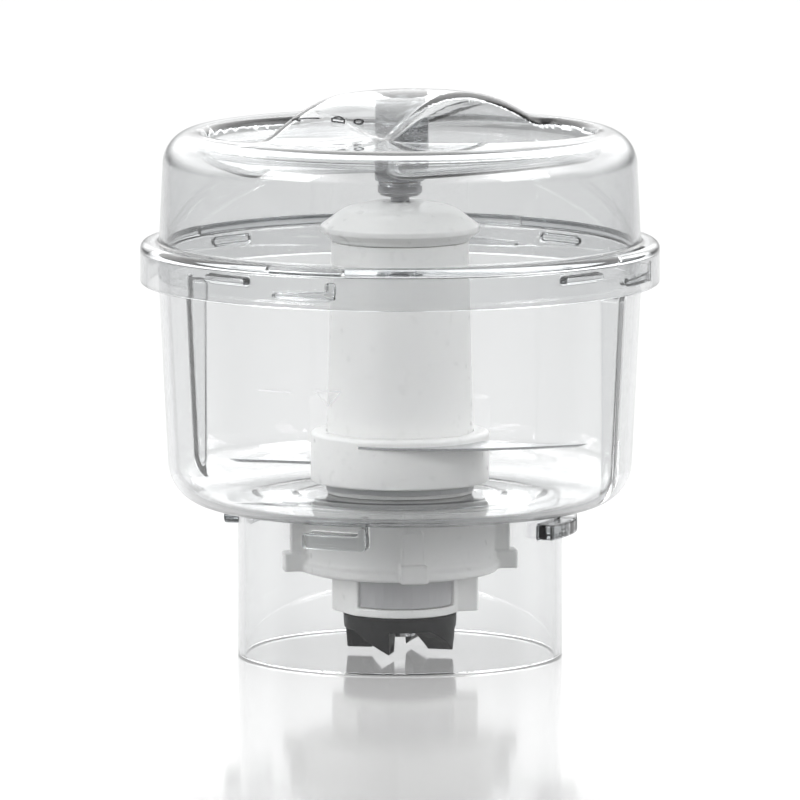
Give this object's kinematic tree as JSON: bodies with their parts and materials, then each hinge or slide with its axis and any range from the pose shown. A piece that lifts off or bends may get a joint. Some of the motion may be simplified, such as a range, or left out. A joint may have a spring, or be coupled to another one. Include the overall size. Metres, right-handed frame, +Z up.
{
  "type": "food processor bowl",
  "caption": "Clear food processor bowl with a screw-on gripped lid, a bladed white knife tower and a saw-tooth drive coupling inside a clear base skirt.",
  "frame": {"origin": "centre of the ring the skirt stands on", "axes": "+Z up along the drive axis, -Y towards the front with the fill mark to its left, +X to the right"},
  "size_m": [0.186, 0.186, 0.2027],
  "materials": {
    "clear_plastic": "clear, polished",
    "smoky_plastic": "clear with a grey tint, polished",
    "white_plastic": "satin-gloss moulding",
    "grey_plastic": "fine satin",
    "polished_steel": "polished",
    "blade_steel": "ground and brushed",
    "bronze": "sintered",
    "charcoal_plastic": "fine satin",
    "silicone": "matte"
  },
  "bodies": {
    "bowl": {"bowl": "clear_plastic", "base_skirt": "clear_plastic", "bearing_sleeve": "grey_plastic", "floor_gasket": "silicone", "bearing_collar": "white_plastic", "upper_bush": "bronze", "lower_bush": "bronze", "shaft_seal": "silicone"},
    "lid_bearing": {"lid_bush": "bronze"},
    "lid": {"lid_shell": "smoky_plastic", "lid_insert": "polished_steel", "lid_cup": "polished_steel"},
    "drive": {"drive_shaft": "polished_steel", "retaining_clip": "blade_steel", "shaft_driver": "polished_steel", "driver_pin": "polished_steel", "thrust_washer": "polished_steel", "coupling": "charcoal_plastic", "coupling_screw": "polished_steel"},
    "knife": {"knife_tower": "white_plastic", "tower_cap": "white_plastic", "blade_hub": "white_plastic", "blade_upper": "blade_steel", "blade_lower": "blade_steel"},
    "lock_nut": {"lock_nut": "white_plastic"}
  },
  "joints": [
    {"name": "lid_lift", "type": "slide", "parent": "bowl", "child": "lid_bearing", "axis": [0, 0, 1], "range_m": [0, 0.236]},
    {"name": "lid_turn", "type": "hinge", "parent": "lid_bearing", "child": "lid", "pos_m": [0, 0, 0.15], "axis": [0, 0, 1], "range_deg": [-20, 0]},
    {"name": "shaft_spin", "type": "hinge", "parent": "bowl", "child": "drive", "pos_m": [0, 0, 0.08], "axis": [0, 0, 1], "continuous": true},
    {"name": "knife_lift", "type": "slide", "parent": "drive", "child": "knife", "axis": [0, 0, 1], "range_m": [0, 0.118]},
    {"name": "nut_turn", "type": "hinge", "parent": "bowl", "child": "lock_nut", "pos_m": [0, 0, 0.045], "axis": [0, 0, 1], "range_deg": [-30, 0]}
  ],
  "couplings": [
    {"joint": "knife_lift", "follows": "lid_lift", "ratio": 0.5}
  ]
}
